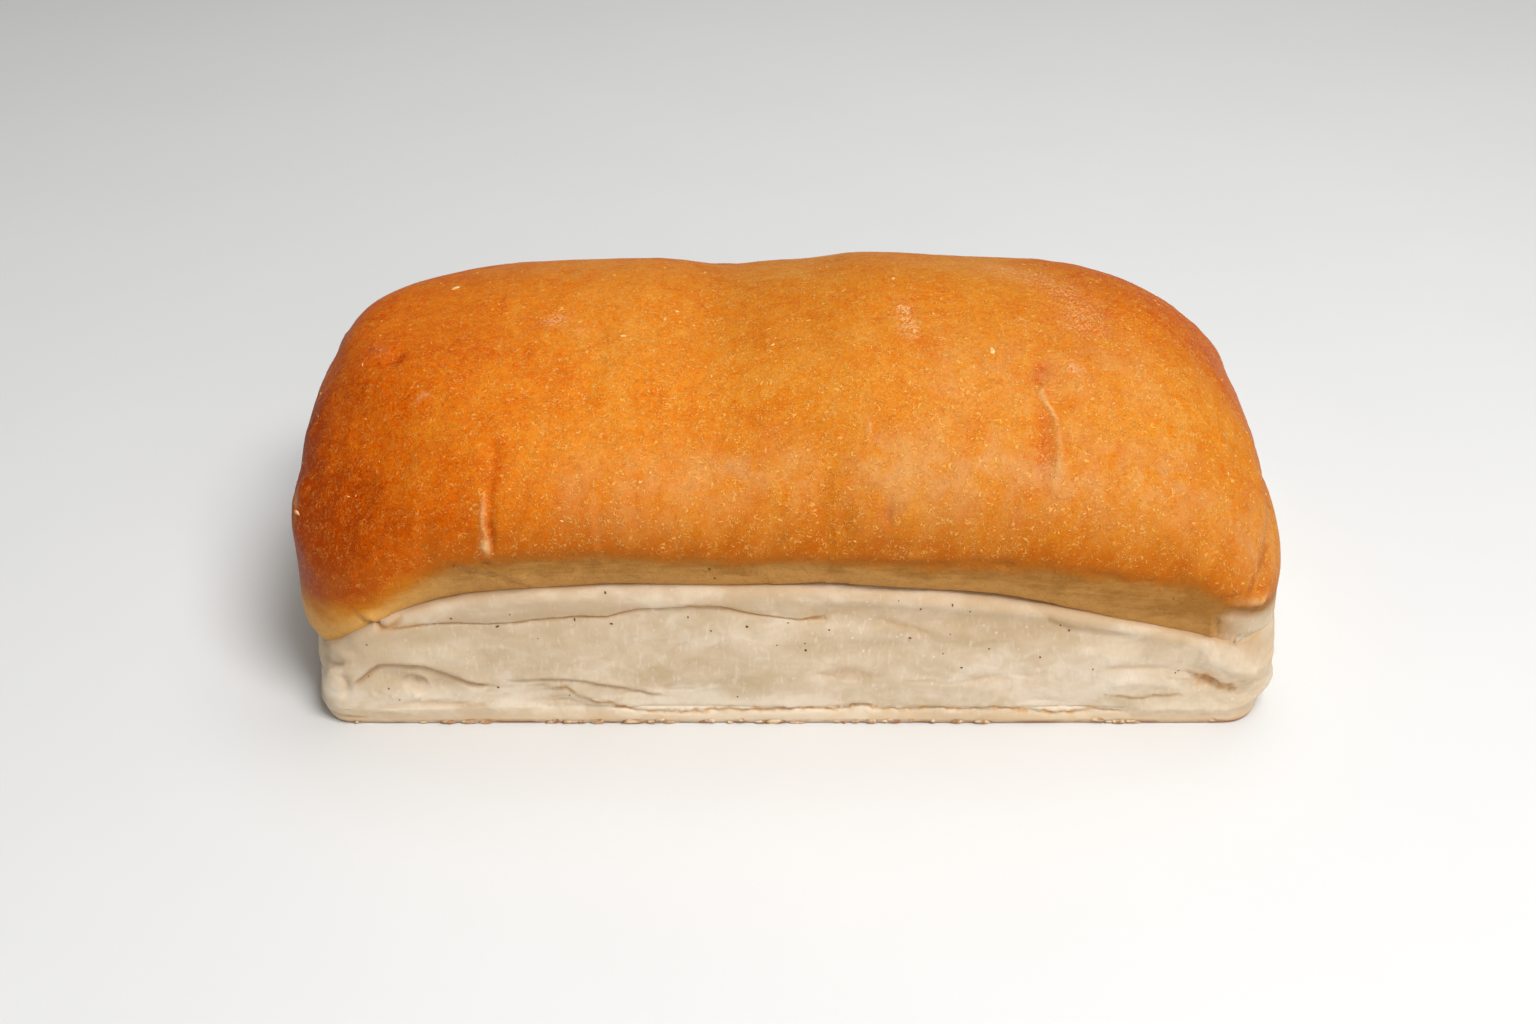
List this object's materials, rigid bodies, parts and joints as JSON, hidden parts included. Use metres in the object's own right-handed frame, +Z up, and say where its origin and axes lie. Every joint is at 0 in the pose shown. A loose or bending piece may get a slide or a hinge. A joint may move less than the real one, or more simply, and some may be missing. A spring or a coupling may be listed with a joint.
{
  "type": "soft white bread loaf",
  "caption": "Whole unsliced pan loaf with a domed golden crust that overhangs pale, folded sides, and a flat base.",
  "frame": {"origin": "middle of the loaf's base, on the surface it rests on", "axes": "+X along the loaf, +Y from the side shown to the back, +Z up"},
  "size_m": [0.2232, 0.1202, 0.0828],
  "materials": {
    "crust": "satin golden brown baked crust above, matt pale cream below the fold"
  },
  "bodies": {
    "root": {"loaf": "crust"}
  },
  "joints": []
}
